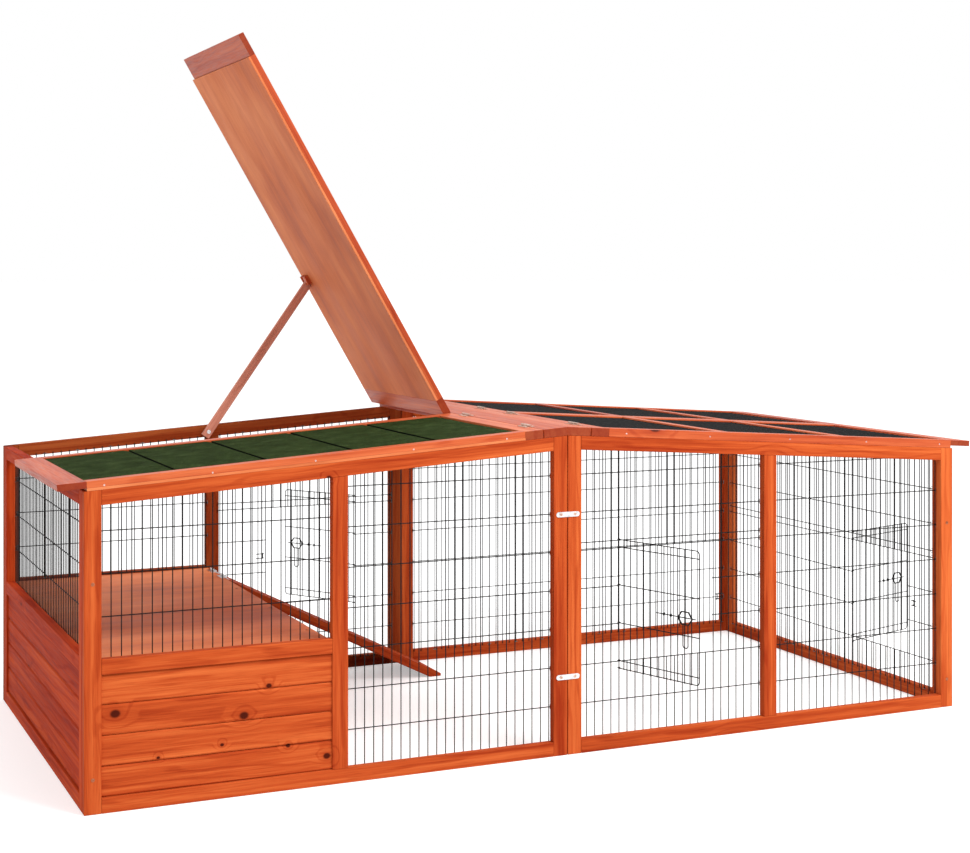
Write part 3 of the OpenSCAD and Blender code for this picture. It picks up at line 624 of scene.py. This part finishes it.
def boards_from(node, material, body, slot, edge=BATTEN_EDGE, along=None, name=None):
    """Stands in for a CAD node of battens or boards: the same solids, with eased edges."""
    pile = Pile()
    whole, solids = loose_solids(node)
    for faces in solids:
        part = copied(faces)
        turn = grain_frame(part, along)
        if node.endswith("_posts"):
            open_joint(part)
        round_edges(part, edge)
        pile.add(part, frame_of_grain=turn)
    whole.free()
    return pile.object(name or node + "_wood", material, body, slot, node)


def prism(outline, low, high):
    """An outline in y and z, made long in x from low to high."""
    bm = bmesh.new()
    near, far = ([bm.verts.new((x, y, z)) for y, z in outline] for x in (low, high))
    bm.faces.new(near[::-1])
    bm.faces.new(far)
    for i in range(len(outline)):
        after = (i + 1) % len(outline)
        bm.faces.new((near[i], near[after], far[after], far[i]))
    bmesh.ops.recalc_face_normals(bm, faces=bm.faces)
    return bm


def plank_stack(node, material, place, low, high):
    """Separate planks with V grooves. place takes (along, inwards, up) to the run."""
    pile = Pile()
    step = (BOARDS_HIGH - BOARDS_LOW) / BOARD_COUNT
    for i in range(BOARD_COUNT):
        foot = BOARDS_LOW + i * step + BOARD_JOINT
        top = BOARDS_LOW + (i + 1) * step - BOARD_JOINT
        part = prism([(BOARD_OUT, foot + GROOVE), (BOARD_OUT + GROOVE, foot), (BOARD_IN, foot),
                      (BOARD_IN, top), (BOARD_OUT + GROOVE, top), (BOARD_OUT, top - GROOVE)],
                     low, high)
        turn = Matrix((X, Z, Y))
        round_edges(part, BOARD_EDGE)
        pile.add(part, place, turn)
    return pile.object(node + "_planks", material, "run", "fir", node)


def box_mesh(low, high):
    bm = bmesh.new()
    bmesh.ops.create_cube(bm, size=1)
    size = Vector(high) - Vector(low)
    for v in bm.verts:
        v.co = Vector((v.co[i] * size[i] for i in range(3))) + (Vector(low) + Vector(high)) / 2
    bm.normal_update()
    return bm


def lid_place(right, back, opened=False):
    """From a lid's own axes, along the slope from the ridge and up from its underside."""
    turn = LID_OPEN + SLOPE if opened else 0
    axis = Vector((AXIS_A, 0, AXIS_T))
    place = Matrix.Translation((0, LID_W + LID_SPLIT if back else 0, RIDGE_H))
    place = place @ Matrix.Rotation(SLOPE, 4, "Y")
    place = place @ Matrix.Translation(axis) @ Matrix.Rotation(-turn, 4, "Y")
    place = place @ Matrix.Translation(-axis)
    return place if right else Matrix.Scale(-1, 4, X) @ place


def lid_frame(lid, place, bars):
    """Rails and bars of a lid. Those of a netted lid have a slot that holds the net."""
    a0 = LID_A + LID_HEAD_W
    a1 = a0 + INNER_L
    rails = [(box_mesh((LID_A, 0, LID_REST), (a0, LID_W, LID_T)), Y),
             (box_mesh((a1, 0, LID_T - LID_TAIL_T), (a1 + LID_TAIL_W, LID_W, LID_T)), Y)]
    outline = [(0, COVER_T), (LID_SIDE_W, COVER_T), (LID_SIDE_W, LID_T), (0, LID_T)]
    if bars:
        outline = [(0, LID_REST), (LID_SIDE_W, LID_REST), (LID_SIDE_W, NET_LOW),
                   (LID_LIP, NET_LOW), (LID_LIP, NET_HIGH), (LID_SIDE_W, NET_HIGH),
                   (LID_SIDE_W, LID_T), (0, LID_T)]
    rails.append((prism(outline, a0, a1), X))
    rails.append((prism([(LID_W - y, z) for y, z in outline], a0, a1), X))
    step = (INNER_L + LID_BAR_W) / (bars + 1)
    for i in range(1, bars + 1):
        a = a0 + i * step - LID_BAR_W
        for low, high in ((LID_REST, NET_LOW), (NET_HIGH, LID_T)):
            bar = box_mesh((a, LID_SIDE_W, low), (a + LID_BAR_W, LID_W - LID_SIDE_W, high))
            rails.append((bar, Y))
    pile = Pile()
    for part, along in rails:
        turn = grain_frame(part, along)
        round_edges(part, LID_EDGE)
        pile.add(part, place, turn)
    return pile.object(lid + "_frame_wood", pale_fir, lid, "pale_fir", lid + "_frame")


def lid_seams(lid, place):
    """Dark strips that the felt sheets lap over, seen in the gaps between them: painted shade in
    the seams.
    """
    pile = Pile()
    top = LID_T - FELT_INSET - FELT_T
    for i in range(1, FELT_SHEETS):
        a = LID_A + LID_HEAD_W + i * (FELT_SHEET_L + FELT_GAP) - FELT_GAP / 2
        strip = box_mesh((a - SEAM_W / 2, LID_SIDE_W, top - SEAM_T),
                         (a + SEAM_W / 2, LID_W - LID_SIDE_W, top))
        round_edges(strip, SEAM_EDGE)
        pile.add(strip, place, Matrix((Y, X, Z)))
    return pile.object(lid + "_seam_shade_strips", seam_shade_felt, lid, "felt")


def felt_sheet(a0, phase):
    """A closed sheet from a0 down the slope: its wavy top, then its flat underside."""
    bm = bmesh.new()
    top = LID_T - FELT_INSET
    rows = []
    for underside in (False, True):
        for j in range(FELT_STEPS_A + 1):
            s = j / FELT_STEPS_A
            dip = FELT_DIP * max(0.0, 1 - s * FELT_SHEET_L / FELT_DIP_W) ** 2
            row = []
            for k in range(FELT_STEPS_Y + 1):
                t = k / FELT_STEPS_Y
                wave = FELT_WAVE * (1 + math.sin(5 * s + phase) * math.cos(9 * t + phase))
                height = top - FELT_T if underside else top - wave - dip
                y = LID_SIDE_W + t * (LID_W - 2 * LID_SIDE_W)
                row.append(bm.verts.new((a0 + s * FELT_SHEET_L, y, height)))
            rows.append(row)
    upper, lower = rows[:FELT_STEPS_A + 1], rows[FELT_STEPS_A + 1:]
    for j in range(FELT_STEPS_A):
        for k in range(FELT_STEPS_Y):
            bm.faces.new((upper[j][k], upper[j + 1][k], upper[j + 1][k + 1], upper[j][k + 1]))
            bm.faces.new((lower[j][k], lower[j][k + 1], lower[j + 1][k + 1], lower[j + 1][k]))
    for above, below in ((upper[0], lower[0]), (upper[-1], lower[-1])):
        for k in range(FELT_STEPS_Y):
            bm.faces.new((above[k], above[k + 1], below[k + 1], below[k]))
    for k in (0, FELT_STEPS_Y):
        for j in range(FELT_STEPS_A):
            bm.faces.new((upper[j][k], lower[j][k], lower[j + 1][k], upper[j + 1][k]))
    bmesh.ops.recalc_face_normals(bm, faces=bm.faces)
    return bm


def lid_felt(lid, place):
    """Felt sheets. Each dips at its upper edge, below the cut edge of the sheet above it."""
    pile = Pile()
    for i in range(FELT_SHEETS):
        a0 = LID_A + LID_HEAD_W + i * (FELT_SHEET_L + FELT_GAP)
        pile.add(felt_sheet(a0, draw.uniform(0, 6)), place)
    return pile.object(lid + "_felt_sheets", green_felt, lid, "felt", lid + "_felt")


# ---------- small fixings ----------


def turned(direction):
    """Rotation that takes +Z to a direction."""
    return Z.rotation_difference(Vector(direction).normalized()).to_matrix().to_4x4()


def screw_head(radius, height):
    """Low domed head with a cross recess, standing on z = 0."""
    arm, reach = RECESS_ARM * radius, RECESS_REACH * radius
    bm = bmesh.new()
    rows = []
    for i in range(1, HEAD_RINGS + 1):
        r = radius * i / HEAD_RINGS
        row = []
        for j in range(HEAD_SPOKES):
            angle = 2 * math.pi * j / HEAD_SPOKES
            x, y = r * math.cos(angle), r * math.sin(angle)
            z = height * math.sqrt(1 - HEAD_DOME * (r / radius) ** 2)
            if r < reach and min(abs(x), abs(y)) < arm:
                z -= RECESS_DEPTH * height
            row.append(bm.verts.new((x, y, z)))
        rows.append(row)
    centre = bm.verts.new((0, 0, RECESS_FLOOR * height))
    rows.append([bm.verts.new((v.co.x, v.co.y, 0)) for v in rows[-1]])
    for j in range(HEAD_SPOKES):
        after = (j + 1) % HEAD_SPOKES
        bm.faces.new((centre, rows[0][j], rows[0][after]))
        for inner, outer in zip(rows, rows[1:]):
            bm.faces.new((inner[j], outer[j], outer[after], inner[after]))
    bm.normal_update()
    return bm


def extent(points):
    """Low and high corner of a cloud of points."""
    return [Vector([pick(p[i] for p in points) for i in range(3)]) for pick in (min, max)]


def screws_from(node, material, body, name):
    """Cross-head screws in the places of a node's plain heads."""
    pile = Pile()
    whole, solids = loose_solids(node)
    for faces in solids:
        low, high = extent([v.co for f in faces for v in f.verts])
        size = high - low
        thin = min(range(3), key=lambda i: size[i])
        radius = max(size) / 2
        middle = (low + high) / 2
        outwards = Vector((0, 0, 0))
        outwards[thin] = 1 if thin == 2 or middle[thin] > RUN_D / 2 else -1
        foot = middle - outwards * size[thin] / 2
        spin = Matrix.Rotation(draw.uniform(0, 1.5), 4, "Z")
        pile.add(screw_head(radius, size[thin]), Matrix.Translation(foot) @ turned(outwards) @ spin)
    whole.free()
    return pile.object(name, material, body, "zinc", node)


def hinge_screws(pile, place, out):
    """Screws of the two hinge leaves that lie on one side of a lid's axis."""
    for y in (HINGE_INSET, LID_W - HINGE_INSET - HINGE_L):
        for end in (HINGE_SCREW_END, HINGE_L - HINGE_SCREW_END):
            foot = Matrix.Translation((AXIS_A + out, y + end, LID_T + LEAF_T))
            pile.add(screw_head(HINGE_SCREW_R, HINGE_SCREW_H), place @ foot)


def lid_screws(lid, place):
    pile = Pile()
    hinge_screws(pile, place, HINGE_SCREW_OUT)
    return pile.object(lid + "_hinge_screws", stained_zinc, lid, "zinc")


def ridge_screws():
    pile = Pile()
    for right in (False, True):
        for back in (False, True):
            hinge_screws(pile, lid_place(right, back), -HINGE_SCREW_OUT)
    return pile.object("ridge_hinge_screws", stained_zinc, "run", "zinc")


def lid_nails(lid, place, back):
    """Flat nail heads along the outer side of a lid, sunk flush."""
    pile = Pile()
    outwards = Y if back else -Y
    y = LID_W if back else 0
    a = LID_A + NAIL_FIRST
    while a < LID_A + LID_L - LID_TAIL_W / 2:
        foot = Matrix.Translation(Vector((a, y, NAIL_HEIGHT)) - outwards * NAIL_SUNK)
        pile.add(screw_head(NAIL_R, NAIL_H), place @ foot @ turned(outwards))
        a += NAIL_PITCH
    return pile.object(lid + "_side_nails", plated, lid, "zinc")


def staple_mesh(leg):
    """Round-wire staple: its crown along x at z = 0, its legs down."""
    half = STAPLE_CROWN / 2
    flat = half - STAPLE_BEND
    path = [Vector((x, 0, z)) for x, z in (
        (-half, -leg), (-half, -STAPLE_BEND), (-flat, 0),
        (flat, 0), (half, -STAPLE_BEND), (half, -leg))]
    bm = bmesh.new()
    rows = []
    for i, point in enumerate(path):
        ahead = path[min(i + 1, len(path) - 1)] - path[max(i - 1, 0)]
        up = ahead.normalized().cross(Y)
        row = []
        for j in range(STAPLE_SIDES):
            angle = 2 * math.pi * (j + 0.5) / STAPLE_SIDES
            out = math.cos(angle) * Y + math.sin(angle) * up
            row.append(bm.verts.new(point + STAPLE_WIRE / 2 * out))
        rows.append(row)
    for first, second in zip(rows, rows[1:]):
        for j in range(STAPLE_SIDES):
            after = (j + 1) % STAPLE_SIDES
            bm.faces.new((first[j], first[after], second[after], second[j]))
    for row in (rows[0][::-1], rows[-1]):
        bm.faces.new(row)
    bmesh.ops.recalc_face_normals(bm, faces=bm.faces)
    return bm


def staples(node, inwards):
    """Staples over the ends of the wires of a mesh, on the inner faces of its battens."""
    pile = Pile()
    whole, solids = loose_solids(node)
    mesh_low, mesh_high = extent([v.co for v in whole.verts])
    inwards = Vector(inwards)
    upright = 0
    for faces in sorted(solids, key=lambda s: tuple(s[0].verts[0].co)):
        low, high = extent([v.co for f in faces for v in f.verts])
        size = high - low
        middle = (low + high) / 2
        wire_r = min(size) / 2
        legs = 2 * wire_r + STAPLE_BITE
        along = max((X, Y, Z), key=size.dot)
        across = inwards.cross(Z)
        if along is not Z:
            across = Z
            legs += LEVEL_WIRE_LIFT
        else:
            upright += 1
            if upright % STAPLE_STEP:
                continue
        reach = size.dot(along) / 2 - STAPLE_IN
        turn = Matrix((across, inwards.cross(across), inwards)).transposed().to_4x4()
        for sign, edge in ((-1, mesh_low), (1, mesh_high)):
            end = middle + along * sign * reach
            if abs((end - edge).dot(along)) < STAPLE_BAND:
                crown = end + inwards * (wire_r + STAPLE_WIRE / 2)
                pile.add(staple_mesh(legs), Matrix.Translation(crown) @ turn)
    whole.free()
    return pile.object(node + "_staples", screw_steel, "run", "zinc")


def finish_node(node, material):
    """Gives a carried-over CAD node its material."""
    mesh = nodes[node].data
    mesh.materials.clear()
    mesh.materials.append(material)


# ---------- the run ----------

camera()
studio()
floor()

for side in ("front", "back"):
    for end in ("left", "right"):
        # The back of the left module gets painted shade, the front its placed knots
        wood_look = {"front_left": front_fir, "back_left": painted_shade_fir}.get(f"{side}_{end}", fir)
        boards_from(f"{side}_{end}_posts", wood_look, "run", "fir")
        boards_from(f"{side}_{end}_rails", wood_look, "run", "fir")
# The left end gets its painted shade, the right end the plain fir
for end, wood_look in (("left_end", left_end_painted_shade_fir), ("right_end", fir)):
    boards_from(end + "_stiles", wood_look, "run", "fir")
    boards_from(end + "_rails", wood_look, "run", "fir")
front = Matrix.Translation((-MODULE_L, 0, 0))
back = Matrix.Translation((-MODULE_L, RUN_D, 0)) @ Matrix.Scale(-1, 4, Y)
left = Matrix(((0, 1, 0, -MODULE_L), (1, 0, 0, 0), (0, 0, 1, 0), (0, 0, 0, 1)))
plank_stack("front_boards", front_fir, front, BATTEN_W, MID_POST_U)
# Planks at the back of the left module, in painted shade
plank_stack("back_boards", painted_shade_fir, back, BATTEN_W, MID_POST_U)
plank_stack("left_end_boards", left_end_painted_shade_fir, left, BATTEN_T + BATTEN_W, RUN_D - BATTEN_T - BATTEN_W)
boards_from("ridge_board_left", pale_fir, "run", "pale_fir")
boards_from("ridge_board_right", pale_fir, "run", "pale_fir")
boards_from("platform", salmon_ply, "run", "plywood", PLY_EDGE, X, "platform_ply")
boards_from("platform_bearers", fir, "run", "fir")
boards_from("ramp", fir, "ramp", "fir")
boards_from("prop_strut", pink_fir, "prop_strut", "fir", STRUT_EDGE)
boards_from("prop_cleat", pale_fir, "back_left_lid", "pale_fir", STRUT_EDGE)

for side in ("front", "back"):
    for end in ("left", "right"):
        lid = f"{side}_{end}_lid"
        place = lid_place(end == "right", side == "back", lid == "back_left_lid")
        lid_frame(lid, place, LID_BARS if end == "right" else 0)
        lid_screws(lid, place)
        lid_nails(lid, place, side == "back")
        finish_node(lid + "_leaves", stained_zinc)
        if end == "left":
            slope_axis = (place.to_3x3() @ X).normalized()
            boards_from(lid + "_panel", salmon_ply, lid, "plywood", PLY_EDGE, slope_axis,
                        lid + "_ply")
            lid_felt(lid, place)
            lid_seams(lid, place)
        else:
            finish_node(lid + "_net", coated_wire)
ridge_screws()

for side, inwards in (("front", Y), ("back", -Y)):
    for end in ("left", "right"):
        for part in ("outer", "inner"):
            mesh_node = f"{side}_{end}_{part}_mesh"
            finish_node(mesh_node, coated_wire)
            staples(mesh_node, inwards)
for mesh_node, inwards in (("left_end_mesh", X), ("right_end_mesh", -X)):
    finish_node(mesh_node, coated_wire)
    staples(mesh_node, inwards)

for door in ("front_door", "back_door", "end_door"):
    finish_node(door, coated_wire)
    finish_node(door + "_latch", coated_wire)
finish_node("door_catches", coated_wire)
finish_node("ridge_hinge_leaves", stained_zinc)
for fitting in ("joining_plates", "platform_hinge_leaves", "ramp_hinge_leaves", "prop_screw"):
    finish_node(fitting, plated)
screws_from("plate_screws", stained_zinc, "run", "plate_cross_screws")
screws_from("frame_screws", stained_screw, "run", "frame_cross_screws")
